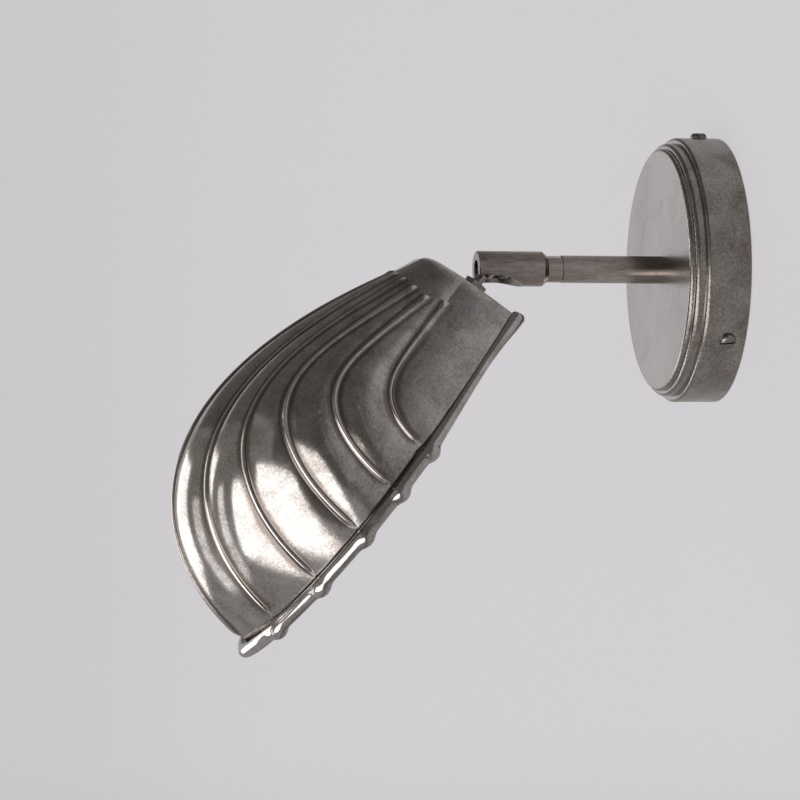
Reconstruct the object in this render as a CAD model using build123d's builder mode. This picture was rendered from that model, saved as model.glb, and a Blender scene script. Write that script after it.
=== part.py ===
from build123d import *
import os
from math import asin, cos, degrees, hypot, pi, radians, sin, sqrt

os.makedirs("parts", exist_ok=True)

# Shell wall sconce. Millimetres, +Z up, +X to the side, the object stands out along -Y.
# The origin is the centre of the wall plate's rear face, on the wall.

# ---------------------------------------------------------------- clearances
fit_gap = 0.05            # radial play of a turned fit or a thread
slide_gap = 0.10          # play of a piece that turns in another
loose_gap = 0.5           # play of a hole round a screw or a tail

# ---------------------------------------------------------------- wall cover
cover_radius = 60.0
cover_drum = 20.1         # depth of the straight drum
cover_depth = 26.8        # wall to flat face
cover_sheet = 1.5
drum_ledge = 2.6          # width of the ledge at the drum's front
face_step = 2.4           # width of the beaded step round the face
rim_screw_depth = 8.3     # rim screw axis from the wall
rim_screw_turns = (87, -33, 207)
rim_screw_thread = 2.0    # radius
rim_screw_head = 3.7      # radius
rim_screw_dome = 2.3
rim_screw_slot = 0.9

# ---------------------------------------------------------------- wall plate
plate_sheet = 2.0
plate_margin = 10.0       # how much smaller the plate is than the cover, in radius
lug_width = 12.0
lug_sheet = 1.6
lug_top = 14.0            # depth that a lug reaches
cable_hole = 12.0         # radius
wall_slot_pitch = 60.0    # between the two wall screws
wall_slot_length = 12.0
wall_slot_width = 5.2

# ---------------------------------------------------------------- terminal block
block_length = 30.0
block_width = 17.0
block_height = 13.0
block_ways = 3
block_centre = -31.0      # height of the block's centre below the arm
block_screw = 1.5         # radius of the fixing screw
clamp_screw = 1.7         # radius of a clamping screw
wire_hole = 1.9           # radius of a wire entry
earth_place = (26.0, 17.0)
earth_screw_thread = 2.0
earth_screw_head = 3.6
earth_washer_radius = 4.4
earth_washer_sheet = 0.8

# ---------------------------------------------------------------- arm
arm_radius = 6.25
arm_length = 45.6         # from the cover's face to the tube's end
arm_wall = 1.5
tail_radius = 5.0         # threaded tail that passes through the cover
tail_bore = 3.4
tail_length = 10.0        # from the face inwards
tooth_washer_radius = 8.6
tooth_washer_sheet = 0.8
teeth = 12
nut_flats = 14.0
nut_height = 3.0
bush_flange = 6.0
bush_wall = 0.9
collar_radius = 6.1
collar_length = 6.5
collar_flats = 11.4
collar_spigot = 8.0       # length inside the tube
swivel_radius = 3.0       # shank of the hollow swivel screw
wire_bore = 1.6
swivel_head = 4.2
swivel_head_height = 2.4

# ---------------------------------------------------------------- knuckle
barrel_radius = 8.0
barrel_nose = 5.4         # length of the barrel beyond the ball's centre
barrel_cone = 2.35        # length of the bevel at the collar
bush_length = 3.4
pivot_reach = 27.1        # from the collar's front to the ball's centre
ball_radius = 4.5
neck_radius = 2.4
slot_half = 3.9           # half width of the slot the neck swings in
slot_length = 13.4        # from the barrel's end
slot_flare = 58.0         # slope of the slot's bevelled edges
slot_flare_depth = 3.3    # distance of the bevel's root from the axis
slot_turn = 14.0          # turn of the barrel about the arm, at rest
seat_reach = 40.0         # degrees of the ball that the seat holds
seat_length = 8.4         # from the seat's rear to the ball's centre
spring_space = 2.2
spring_discs = 2
plug_length = 5.0
plug_slot = 1.4

# ---------------------------------------------------------------- shade placing
shade_lean = 38.2         # degrees of the stem from straight down, at rest
stem_reach = 13.5         # ball centre to the shade's top plate
stem_height = 16.0        # stem axis above the rim plane
thread_radius = 4.0
thread_length = 14.0      # from the plate's outer face inwards
stem_washer_radius = 7.9
stem_washer_sheet = 1.0
lock_nut_radius = 5.4
lock_nut_height = 4.2
lock_nut_flats = 9.6
inner_nut_flats = 13.0
inner_nut_height = 3.0

# ---------------------------------------------------------------- shade, outer form
shell_wall = 1.2
top_half = 30.0           # half width of the top plate at the rim plane
shoulder = 16.0           # where the ribs begin, from the top plate
shoulder_axis = 23.0      # height of the shoulder arch's centre
shoulder_rise = 28.0      # its rise above that centre
rib_spread = 16.5         # degrees between ribs on the shoulder arch
wide_half = 60.0          # greatest half width of the rim
wide_at = 100.0           # where the rim is widest
tip_at = 187.0            # length of the shade along the rim plane
tip_taper = 1.3           # above 1 draws the rim in towards the tip
rib_landings = (187.0, 172.5, 148.7, 122.0, 98.0, 75.5)   # where ribs 0 to 5 meet the rim
rib_rises = (92.0, 68.0, 52.0, 40.0, 24.0, 5.0)           # climb of ribs 0 to 5 past the shoulder
rib_drops = (1.6, 2.1, 3.0, 4.2, 5.2, 6.0)                # how late ribs 0 to 5 turn down
fan_hinge = 60.0          # where the last section plane stands on the rim
fan_sections = 9
swell_top = 0.036         # bow of a panel over its chord, at the top plate
swell_belly = 0.10
swell_rim = 0.06
ridge_half = 1.9          # half width of a rib's narrow ridge
ridge_rise = 1.3          # its crest above the panels beside it
ridge_faint = 0.15        # share of that rise left at the top plate
ridge_growth = 1.5        # fan sections over which the ridge comes to its full rise
roll_radius = 2.2
roll_height = 0.6         # centre of the rolled edge above the rim plane
roll_outset = 0.3         # centre of the rolled edge beyond the shell, between ribs
roll_bulge = 1.5          # the same at a rib's end

# ---------------------------------------------------------------- lampholder and lamp
holder_radius = 14.0
cap_height = 16.0
cap_sheet = 2.0
skirt_length = 27.0
skirt_sheet = 1.6
base_sheet = 5.0
contact_width = 5.0
contact_sheet = 0.5
screw_shell_radius = 7.6
screw_shell_sheet = 0.5
screw_shell_length = 19.0
lamp_cap_radius = 6.9
lamp_cap_length = 17.0
lamp_tip_radius = 2.4
lamp_tip_height = 1.6
glass_radius = 12.5
glass_length = 62.0
glass_shoulder = 16.0     # from the glass's end to its full width
glass_wall = 0.9


def out(depth):
    """Plane parallel to the wall, facing away from it."""
    return Plane(origin=(0, -depth, 0), x_dir=(1, 0, 0), z_dir=(0, -1, 0))


face_radius = cover_radius - drum_ledge - face_step
arm_end = cover_depth + arm_length
collar_end = arm_end + collar_length
pivot_depth = collar_end + pivot_reach
barrel_end = pivot_depth + barrel_nose
pivot = Vector(0, -pivot_depth, 0)
lean = radians(shade_lean)
down_shade = Vector(0, -sin(lean), -cos(lean))      # from the top plate to the tip
off_rim = Vector(0, -cos(lean), sin(lean))          # from the rim plane to the ribbed back
shade_origin = pivot + down_shade * stem_reach - off_rim * stem_height
shade_frame = Plane(origin=shade_origin, x_dir=down_shade, z_dir=off_rim)


def shade_point(along, across, height):
    return shade_frame.from_local_coords(Vector(along, across, height))


def stem_plane(along):
    """Plane square to the stem axis; 0 is the top plate's outer face."""
    return Plane(origin=shade_point(along, 0, stem_height), x_dir=(1, 0, 0), z_dir=down_shade)


# ================================================================ wall side
# Wall plate: a steel pressing with three bent lugs that take the cover's rim screws.
lug_face = cover_radius - cover_sheet - slide_gap
with BuildPart() as wall_plate:
    with BuildSketch(out(0)):
        Circle(cover_radius - plate_margin)
        for turn in rim_screw_turns:
            with Locations(Location((0, 0, 0), turn)):
                with Locations((lug_face / 2, 0)):
                    Rectangle(lug_face, lug_width)
        Circle(lug_face, mode=Mode.INTERSECT)
        Circle(cable_hole, mode=Mode.SUBTRACT)
        with Locations((-wall_slot_pitch / 2, 0), (wall_slot_pitch / 2, 0)):
            SlotOverall(wall_slot_length, wall_slot_width, mode=Mode.SUBTRACT)
        with Locations(earth_place):
            Circle(earth_screw_thread, mode=Mode.SUBTRACT)
        with Locations((0, block_centre)):
            Circle(block_screw, mode=Mode.SUBTRACT)
    extrude(amount=plate_sheet)
    with BuildSketch(out(0)):
        for turn in rim_screw_turns:
            with Locations(Location((0, 0, 0), turn)):
                with Locations((lug_face - lug_sheet, 0)):
                    Rectangle(2 * lug_sheet, lug_width)
        Circle(lug_face, mode=Mode.INTERSECT)
    extrude(amount=lug_top)
    for turn in rim_screw_turns:
        with Locations(Location((0, -rim_screw_depth, 0), (0, 90 - turn, 0))):
            Cylinder(rim_screw_thread, cover_radius, align=(Align.CENTER, Align.CENTER, Align.MIN),
                     mode=Mode.SUBTRACT)
wall_plate.part.label = "wall_plate"

# Cover: a spun cup with a drum, a beaded step and a flat face.
shoulder_round = 1.5
bead_round = 1.8
face_round = 1.6
bead_radius = cover_radius - drum_ledge
with BuildPart() as backplate_cover:
    with BuildSketch(Plane.XY) as cover_profile:
        with BuildLine():
            drum = Line((cover_radius, 0), (cover_radius, -cover_drum + shoulder_round))
            over = RadiusArc(drum @ 1, (cover_radius - shoulder_round, -cover_drum), shoulder_round)
            ledge = Line(over @ 1, (bead_radius, -cover_drum))
            riser = Line(ledge @ 1, (bead_radius, -cover_depth + face_round + bead_round + 0.6))
            bead = RadiusArc(riser @ 1, (bead_radius - bead_round, -cover_depth + face_round + 0.6),
                             bead_round)
            step = Line(bead @ 1, (face_radius, -cover_depth + face_round + 0.6))
            lip = Line(step @ 1, (face_radius, -cover_depth + face_round))
            turn_in = RadiusArc(lip @ 1, (face_radius - face_round, -cover_depth), face_round)
            face = Line(turn_in @ 1, (tail_radius + loose_gap / 2, -cover_depth))
            back = Line(face @ 1, (tail_radius + loose_gap / 2, -cover_depth + cover_sheet))
            inside = Polyline(back @ 1, (face_radius - 2 * cover_sheet, -cover_depth + cover_sheet),
                              (face_radius - 2 * cover_sheet + 1, -cover_drum + cover_sheet),
                              (cover_radius - cover_sheet, -cover_drum + cover_sheet),
                              (cover_radius - cover_sheet, 0))
            Line(inside @ 1, (cover_radius, 0))
        make_face()
    revolve(axis=Axis.Y)
    for turn in rim_screw_turns:
        with Locations(Location((0, -rim_screw_depth, 0), (0, 90 - turn, 0))):
            Cylinder(rim_screw_thread + loose_gap / 2, 2 * cover_radius,
                     align=(Align.CENTER, Align.CENTER, Align.MIN), mode=Mode.SUBTRACT)
backplate_cover.part.label = "backplate_cover"

# Rim screws: three round-head slotted screws through the drum into the lugs.
screw_seat = cover_radius + 0.02
lug_inside = lug_face - lug_sheet
with BuildPart() as cover_screws:
    for turn in rim_screw_turns:
        screw_frame = Plane(origin=(0, -rim_screw_depth, 0),
                            x_dir=(0, 1, 0),
                            z_dir=(cos(radians(turn)), 0, sin(radians(turn))))
        with BuildSketch(screw_frame.offset(lug_inside - 2.0)):
            Circle(rim_screw_thread - fit_gap)
        extrude(amount=screw_seat - lug_inside + 2.0)
        with BuildSketch(screw_frame.offset(screw_seat)):
            Circle(rim_screw_head)
        head = extrude(amount=rim_screw_dome)
        fillet(head.edges().filter_by(GeomType.CIRCLE).sort_by(Axis(screw_frame.origin,
               screw_frame.z_dir))[-1:], rim_screw_dome * 0.85)
        with BuildSketch(screw_frame.offset(screw_seat + rim_screw_dome)):
            with Locations(Location((0, 0, 0), 40 + turn)):
                Rectangle(3 * rim_screw_head, rim_screw_slot)
        extrude(amount=-rim_screw_dome * 0.5, mode=Mode.SUBTRACT)
cover_screws.part.label = "cover_screws"

# Earth screw and washer on the wall plate.
with BuildPart() as earth_washer:
    with BuildSketch(out(plate_sheet)):
        with Locations(earth_place):
            Circle(earth_washer_radius)
            Circle(earth_screw_thread + loose_gap / 2, mode=Mode.SUBTRACT)
    extrude(amount=earth_washer_sheet)
earth_washer.part.label = "earth_washer"

earth_head = 2.2
with BuildPart() as earth_screw:
    with BuildSketch(out(0.2)):
        with Locations(earth_place):
            Circle(earth_screw_thread - fit_gap)
    extrude(amount=plate_sheet + earth_washer_sheet)
    with BuildSketch(out(plate_sheet + earth_washer_sheet)):
        with Locations(earth_place):
            Circle(earth_screw_head)
    extrude(amount=earth_head)
    with BuildSketch(out(plate_sheet + earth_washer_sheet + earth_head)):
        with Locations(earth_place):
            Rectangle(3 * earth_screw_head, rim_screw_slot)
            Rectangle(rim_screw_slot, 3 * earth_screw_head)
    extrude(amount=-earth_head / 2, mode=Mode.SUBTRACT)
earth_screw.part.label = "earth_screw"

# Terminal block: three ways side by side, each with two clamping screws.
way_pitch = block_length / block_ways
way_spots = [((way + 0.5) * way_pitch - block_length / 2, side * block_width / 4)
             for way in range(block_ways) for side in (-1, 1)]
way_spots = [(across, rise + block_centre) for across, rise in way_spots]
clamp_length = 5.0
wire_depth = plate_sheet + block_height / 2 - 1.0
with BuildPart() as terminal_block:
    with BuildSketch(out(plate_sheet)):
        with Locations((0, block_centre)):
            Rectangle(block_length, block_width)
    extrude(amount=block_height)
    with BuildSketch(out(plate_sheet + block_height)):
        with Locations((0, block_centre)):
            with GridLocations(way_pitch, 1, block_ways - 1, 1):
                Rectangle(1.6, 2 * block_width)
    extrude(amount=-block_height / 3, mode=Mode.SUBTRACT)
    with BuildSketch(out(plate_sheet + block_height)):
        with Locations(*way_spots):
            Circle(clamp_screw)
    extrude(amount=-clamp_length - 1.0, mode=Mode.SUBTRACT)
    with BuildSketch(Plane.XY.offset(block_centre - block_width / 2)):
        with Locations((0, -wire_depth)):
            with GridLocations(way_pitch, 1, block_ways, 1):
                Circle(wire_hole)
    extrude(amount=block_width, mode=Mode.SUBTRACT)
    with BuildSketch(out(0)):
        with Locations((0, block_centre)):
            Circle(block_screw + loose_gap / 4)
    extrude(amount=block_height + 2 * plate_sheet, mode=Mode.SUBTRACT)
terminal_block.part.label = "terminal_block"

with BuildPart() as terminal_screws:
    with BuildSketch(out(plate_sheet + block_height - 1.0)):
        with Locations(*way_spots):
            Circle(clamp_screw - fit_gap)
    extrude(amount=-clamp_length)
    with BuildSketch(out(plate_sheet + block_height - 1.0)):
        with Locations(*way_spots):
            Rectangle(3 * clamp_screw, clamp_screw / 3)
    extrude(amount=-1.0, mode=Mode.SUBTRACT)
terminal_screws.part.label = "terminal_screws"

with BuildPart() as block_fixing_screw:
    with BuildSketch(out(0.2)):
        with Locations((0, block_centre)):
            Circle(block_screw - fit_gap)
    extrude(amount=plate_sheet + block_height)
    with BuildSketch(out(plate_sheet + block_height)):
        with Locations((0, block_centre)):
            Circle(1.6 * block_screw)
    extrude(amount=1.4)
block_fixing_screw.part.label = "block_fixing_screw"

# ================================================================ arm
# Arm tube: a plain tube shouldered on the cover, with a hollow threaded tail behind it.
tail_end = cover_depth - tail_length
with BuildPart() as arm_tube:
    with BuildSketch(out(cover_depth)):
        Circle(arm_radius)
        Circle(arm_radius - arm_wall, mode=Mode.SUBTRACT)
    tube = extrude(amount=arm_end - cover_depth)
    chamfer(tube.edges().filter_by(GeomType.CIRCLE).sort_by(Axis.Y)[0:1], 0.5)
    with BuildSketch(out(cover_depth)):
        Circle(arm_radius)
        Circle(tail_bore, mode=Mode.SUBTRACT)
    extrude(amount=4.0)
    with BuildSketch(out(tail_end)):
        Circle(tail_radius)
        Circle(tail_bore, mode=Mode.SUBTRACT)
    extrude(amount=tail_length)
arm_tube.part.label = "arm_tube"

# Toothed washer and nut that clamp the tail inside the cover.
washer_depth = cover_depth - cover_sheet
tooth_height = 1.4
with BuildPart() as arm_washer:
    with BuildSketch(out(washer_depth)):
        Circle(tooth_washer_radius - tooth_height)
        with PolarLocations(tooth_washer_radius - tooth_height, teeth):
            Rectangle(2 * tooth_height, tooth_height)
        Circle(tail_radius + slide_gap, mode=Mode.SUBTRACT)
    extrude(amount=-tooth_washer_sheet)
arm_washer.part.label = "arm_washer"

with BuildPart() as arm_nut:
    with BuildSketch(out(washer_depth - tooth_washer_sheet)):
        RegularPolygon(nut_flats / 2, 6, major_radius=False)
        Circle(tail_radius + fit_gap, mode=Mode.SUBTRACT)
    extrude(amount=-nut_height)
arm_nut.part.label = "arm_nut"

# Bush that keeps the wires off the tail's rear edge.
with BuildPart() as wire_bush:
    with BuildSketch(out(tail_end)):
        Circle(bush_flange)
        Circle(tail_bore - fit_gap - bush_wall, mode=Mode.SUBTRACT)
    extrude(amount=-1.2)
    with BuildSketch(out(tail_end)):
        Circle(tail_bore - fit_gap)
        Circle(tail_bore - fit_gap - bush_wall, mode=Mode.SUBTRACT)
    extrude(amount=5.0)
wire_bush.part.label = "wire_bush"

# Collar: a turned piece with two spanner flats, screwed into the tube's end.
collar_bore = swivel_radius + fit_gap
with BuildPart() as arm_collar:
    with BuildSketch(out(arm_end)):
        Circle(collar_radius)
        Circle(collar_bore, mode=Mode.SUBTRACT)
    extrude(amount=collar_end - arm_end)
    with BuildSketch(out(arm_end)):
        Circle(arm_radius - arm_wall - fit_gap)
        Circle(collar_bore, mode=Mode.SUBTRACT)
    extrude(amount=-collar_spigot)
    with BuildSketch(out(arm_end)):
        with Locations(Location((0, 0, 0), 90 - slot_turn)):
            Rectangle(4 * collar_radius, 4 * collar_radius)
            Rectangle(collar_flats, 4 * collar_radius, mode=Mode.SUBTRACT)
    extrude(amount=collar_end - arm_end, mode=Mode.SUBTRACT)
arm_collar.part.label = "arm_collar"

# Hollow swivel screw: its head holds the barrel's rear bush against the collar.
bush_front = collar_end + bush_length
with BuildPart() as swivel_screw:
    with BuildSketch(out(arm_end - collar_spigot)):
        Circle(swivel_radius)
        Circle(wire_bore, mode=Mode.SUBTRACT)
    extrude(amount=bush_front + slide_gap - arm_end + collar_spigot)
    with BuildSketch(out(bush_front + slide_gap)):
        Circle(swivel_head)
        Circle(wire_bore, mode=Mode.SUBTRACT)
    extrude(amount=swivel_head_height)
    with BuildSketch(out(bush_front + slide_gap + swivel_head_height)):
        Rectangle(3 * swivel_head, 1.2)
    extrude(amount=-1.0, mode=Mode.SUBTRACT)
swivel_screw.part.label = "swivel_screw"

# ================================================================ knuckle
# Barrel: bored from the rear to a ball seat, with a bevelled slot that runs out at its end.
bore_radius = ball_radius + fit_gap
face_play = 0.05
with BuildPart() as knuckle_barrel:
    with BuildSketch(Plane.XY) as barrel_profile:
        with BuildLine():
            Polyline((bore_radius, -collar_end - face_play),
                     (collar_radius, -collar_end - face_play),
                     (barrel_radius, -collar_end - barrel_cone),
                     (barrel_radius, -barrel_end + 0.4),
                     (barrel_radius - 0.4, -barrel_end),
                     (0, -barrel_end),
                     (0, -pivot_depth - bore_radius))
            CenterArc((0, -pivot_depth), bore_radius, -90, 90)
            Line((bore_radius, -pivot_depth), (bore_radius, -collar_end - face_play))
        make_face()
    revolve(axis=Axis.Y)
    turn = radians(slot_turn)
    slot_down = Vector(sin(turn), 0, -cos(turn))
    slot_back = barrel_end - slot_length
    slot_frame = Plane(origin=(0, -slot_back, 0), x_dir=(0, -1, 0), z_dir=slot_down)
    with BuildSketch(slot_frame):
        with Locations((slot_half, 0)):
            Circle(slot_half)
        with Locations((slot_half, 0)):
            Rectangle(barrel_end - slot_back, 2 * slot_half, align=(Align.MIN, Align.CENTER))
    extrude(amount=2 * barrel_radius, mode=Mode.SUBTRACT)
    with BuildSketch(slot_frame.offset(slot_flare_depth)):
        with Locations((slot_half, 0)):
            Circle(slot_half)
            Rectangle(2 * (barrel_end - slot_back), 2 * slot_half, align=(Align.MIN, Align.CENTER))
    extrude(amount=barrel_radius, taper=-slot_flare, mode=Mode.SUBTRACT)
    with BuildSketch(out(pivot_depth)):
        Circle(slot_half)
    extrude(amount=barrel_end, mode=Mode.SUBTRACT)
knuckle_barrel.part.label = "knuckle_barrel"

with BuildPart() as barrel_bush:
    with BuildSketch(out(collar_end + face_play)):
        Circle(bore_radius - fit_gap)
        Circle(swivel_radius + slide_gap, mode=Mode.SUBTRACT)
    extrude(amount=bush_length - face_play)
barrel_bush.part.label = "barrel_bush"

# Seat pad behind the ball, disc springs and the hollow plug that loads them.
reach = radians(seat_reach)
seat_back = pivot_depth - seat_length
cup_radius = ball_radius + 0.02
seat_lip = cup_radius * sin(reach)
seat_front = pivot_depth - cup_radius * cos(reach)
with BuildPart() as ball_seat:
    with BuildSketch(Plane.XY) as seat_profile:
        with BuildLine():
            Line((wire_bore, -seat_back), (bore_radius - fit_gap, -seat_back))
            Line((bore_radius - fit_gap, -seat_back), (bore_radius - fit_gap, -seat_back - 2.4))
            Line((bore_radius - fit_gap, -seat_back - 2.4), (seat_lip, -seat_front))
            inner_depth = -pivot_depth + sqrt(cup_radius ** 2 - wire_bore ** 2)
            seat_bore = degrees(asin(wire_bore / cup_radius))
            CenterArc((0, -pivot_depth), cup_radius, 90 - seat_bore, seat_bore - seat_reach)
            Line((wire_bore, inner_depth), (wire_bore, -seat_back))
        make_face()
    revolve(axis=Axis.Y)
ball_seat.part.label = "ball_seat"

disc_space = spring_space / spring_discs
with BuildPart() as disc_springs:
    for disc in range(spring_discs):
        start = seat_back - disc * disc_space
        bow = disc_space * 0.45
        outer_end, inner_end = (start, start - bow) if disc % 2 == 0 else (start - bow, start)
        with BuildSketch(Plane.XY):
            with BuildLine():
                Polyline((4.3, -outer_end), (2.1, -inner_end), (2.1, -inner_end + disc_space - bow),
                         (4.3, -outer_end + disc_space - bow), close=True)
            make_face()
        revolve(axis=Axis.Y)
disc_springs.part.label = "disc_springs"

with BuildPart() as seat_plug:
    with BuildSketch(out(seat_back - spring_space)):
        Circle(bore_radius - fit_gap)
        Circle(wire_bore, mode=Mode.SUBTRACT)
    extrude(amount=-plug_length)
    with BuildSketch(out(seat_back - spring_space - plug_length)):
        Rectangle(3 * bore_radius, plug_slot)
    extrude(amount=1.2, mode=Mode.SUBTRACT)
seat_plug.part.label = "seat_plug"

# ================================================================ stem and its fastenings
# Ball stem: a drilled ball on a neck, with a threaded shank that carries the shade.
neck_end = stem_reach - stem_washer_sheet - lock_nut_height
with BuildPart() as ball_stem:
    with Locations(pivot):
        Sphere(ball_radius)
    with BuildSketch(stem_plane(-stem_reach)):
        Circle(neck_radius)
    extrude(amount=neck_end)
    with BuildSketch(stem_plane(neck_end - stem_reach)):
        Circle(thread_radius)
    extrude(amount=stem_reach - neck_end + thread_length)
    with BuildSketch(stem_plane(-2 * stem_reach)):
        Circle(wire_bore)
    extrude(amount=4 * stem_reach, mode=Mode.SUBTRACT)
ball_stem.part.label = "ball_stem"

with BuildPart() as lock_nut:
    with BuildSketch(stem_plane(-stem_washer_sheet - lock_nut_height)):
        Circle(lock_nut_radius)
        Rectangle(lock_nut_flats, 3 * lock_nut_radius, mode=Mode.INTERSECT)
        Circle(thread_radius + fit_gap, mode=Mode.SUBTRACT)
    extrude(amount=lock_nut_height)
lock_nut.part.label = "lock_nut"

with BuildPart() as stem_washer:
    with BuildSketch(stem_plane(-stem_washer_sheet)):
        Circle(stem_washer_radius)
        Circle(thread_radius + fit_gap, mode=Mode.SUBTRACT)
    extrude(amount=stem_washer_sheet)
stem_washer.part.label = "stem_washer"


# ================================================================ shade
def rim_half(along, inset=0.0):
    """Half width of the rim at a distance from the top plate."""
    if along <= wide_at:
        rise = sin(pi / 2 * max(along, 0) / wide_at)
        return top_half + (wide_half - top_half) * rise - inset
    share = min(1.0, (along - wide_at) / (tip_at - inset - wide_at))
    return (wide_half - inset) * (1 - share ** 2) ** (tip_taper / 2)


def rib_point(rib, hinge, tilt, inset=0.0, below=0.0):
    """Across and reach of a rib where it crosses a section plane.

    A rib runs straight in plan from the shoulder arch to its landing on the rim. The section plane
    stands at the hinge, this far below the rim plane, and tilts from square to it to flat on it.
    """
    side = 1 if rib >= 0 else -1
    number = abs(rib)
    spread = radians(rib_spread * number)
    start_across = (top_half - inset) * sin(spread)
    start_height = shoulder_axis + (shoulder_rise - inset) * cos(spread)
    landing = rib_landings[number]
    landing_half = rim_half(landing)
    span = hypot(landing - wide_at, landing_half)
    landing -= inset * (landing - wide_at) / span
    landing_half -= inset * landing_half / span

    def height_at(along):
        share = (along - shoulder) / (landing - shoulder)
        drop = sqrt(max(0.0, 1 - max(0.0, share) ** rib_drops[number]))
        return (start_height + rib_rises[number] * share) * drop

    low, high = hinge, landing
    for _ in range(40):
        middle = (low + high) / 2
        if (middle - hinge) * cos(tilt) < (height_at(middle) + below) * sin(tilt):
            low = middle
        else:
            high = middle
    share = (low - shoulder) / (landing - shoulder)
    across = start_across + (landing_half - start_across) * share
    return side * across, (low - hinge) * sin(tilt) + (height_at(low) + below) * cos(tilt)


def fan_plane(hinge, tilt, below=0.0):
    reach = down_shade * sin(tilt) + off_rim * cos(tilt)
    across = Vector(1, 0, 0)
    return Plane(origin=shade_point(hinge, 0, -below), x_dir=across, z_dir=across.cross(reach))


def fan_station(step, start=0.0):
    """Hinge and tilt of a section plane, from the top plate to the rim plane."""
    share = step / (fan_sections - 1)
    return start + (fan_hinge - start) * sin(pi / 2 * share), pi / 2 * share ** 1.6


def bowed(start, end, bow):
    """Arc from start to end whose middle stands off its chord by bow times the chord."""
    chord = end - start
    return ThreePointArc(start, (start + end) / 2 + Vector(chord.Y, -chord.X) * bow, end)


def swell(share):
    """How far a panel bows, from the top plate, 0, by the belly to the rim, 1."""
    if share < 0.5:
        return swell_top + (swell_belly - swell_top) * sin(pi * share) ** 2
    return swell_rim + (swell_belly - swell_rim) * sin(pi * share) ** 2


outer_ribs = len(rib_landings) - 1


def shade_outline(step, start, inset, below, ridged):
    """Closed section: rim corner, panels parted by the ribs, rim corner, all from below the rim.

    A ridged outline has a narrow ridge on each rib, whose crest is the rib's own line.
    """
    hinge, tilt = fan_station(step, start)
    share = step / (fan_sections - 1)
    corner = rim_half(hinge, inset)
    knots = [Vector(corner, 0)]
    for rib in range(outer_ribs, -outer_ribs - 1, -1):
        knots.append(Vector(*rib_point(rib, hinge, tilt, inset, below)))
    knots.append(Vector(-corner, 0))
    rise = ridge_rise * min(1.0, ridge_faint + step / ridge_growth)
    with BuildSketch(fan_plane(hinge, tilt, below)) as outline:
        with BuildLine():
            panel_start = knots[0]
            bow = swell_top
            for before, crest, after in zip(knots, knots[1:], knots[2:]):
                run = ((crest - before).normalized() + (after - crest).normalized()).normalized()
                panel_end = crest
                next_start = crest
                if ridged:
                    sunk = Vector(-run.Y, run.X) * rise
                    panel_end = crest + sunk - run * ridge_half
                    next_start = crest + sunk + run * ridge_half
                    ThreePointArc(panel_end, crest, next_start)
                bowed(panel_start, panel_end, bow)
                panel_start = next_start
                bow = swell(share)
            bowed(panel_start, knots[-1], swell_top)
            Line(knots[-1], knots[0])
        make_face()
    return outline.sketch


def rim_spot(along, side, outset):
    """Centre of the rolled rim, this far outside the shell's edge."""
    if along >= tip_at:
        return shade_point(tip_at + outset, 0, roll_height)
    half = rim_half(along)
    outward = Vector(max(0.0, along - wide_at), half).normalized() * outset
    return shade_point(along + outward.X, side * (half + outward.Y), roll_height)


outer_skirt = 3.0         # the lofts run on below the rim plane and are cut off there
inner_skirt = 6.0
hollow_inset = shell_wall + ridge_rise
outer_faces = [shade_outline(step, 0, 0, outer_skirt, True) for step in range(fan_sections)]
inner_faces = [shade_outline(step, shell_wall, hollow_inset, inner_skirt, False)
               for step in range(fan_sections)]

# Rolled rim: a bead on the edge that swells out at the end of each rib.
landings = rib_landings[::-1]
roll_stations = [(along, roll_outset) for along in (0, 0.25 * landings[0], 0.75 * landings[0])]
for landing, following in zip(landings, landings[1:]):
    roll_stations.append((landing, roll_bulge))
    roll_stations.append(((landing + following) / 2, roll_outset))
near_side = [rim_spot(along, 1, outset) for along, outset in roll_stations]
far_side = [rim_spot(along, -1, outset) for along, outset in reversed(roll_stations)]
with BuildPart() as rolled_rim:
    with BuildLine() as rim_path:
        Spline(*near_side, rim_spot(tip_at, 1, roll_bulge), *far_side)
    rim_start = rim_path.edges()[0]
    with BuildSketch(Plane(origin=rim_start @ 0, z_dir=rim_start % 0)):
        Circle(roll_radius)
    sweep()

# Shade: pressed sheet with eleven ribs, bowed panels, a flat top plate and the rolled rim.
with BuildPart() as shade:
    loft(outer_faces)
    loft(inner_faces, mode=Mode.SUBTRACT)
    split(bisect_by=shade_frame, keep=Keep.TOP)
    add(rolled_rim.part)
    with BuildSketch(stem_plane(-shell_wall)):
        Circle(thread_radius + loose_gap / 2)
    extrude(amount=3 * shell_wall, mode=Mode.SUBTRACT)
shade.part.label = "shade"

# Inner washer and nut that clamp the shade on the stem's thread.
with BuildPart() as inner_washer:
    with BuildSketch(stem_plane(shell_wall)):
        Circle(stem_washer_radius)
        Circle(thread_radius + fit_gap, mode=Mode.SUBTRACT)
    extrude(amount=stem_washer_sheet)
inner_washer.part.label = "inner_washer"

inner_stack = shell_wall + stem_washer_sheet
with BuildPart() as inner_nut:
    with BuildSketch(stem_plane(inner_stack)):
        RegularPolygon(inner_nut_flats / 2, 6, major_radius=False)
        Circle(thread_radius + fit_gap, mode=Mode.SUBTRACT)
    extrude(amount=inner_nut_height)
inner_nut.part.label = "inner_nut"

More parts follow.
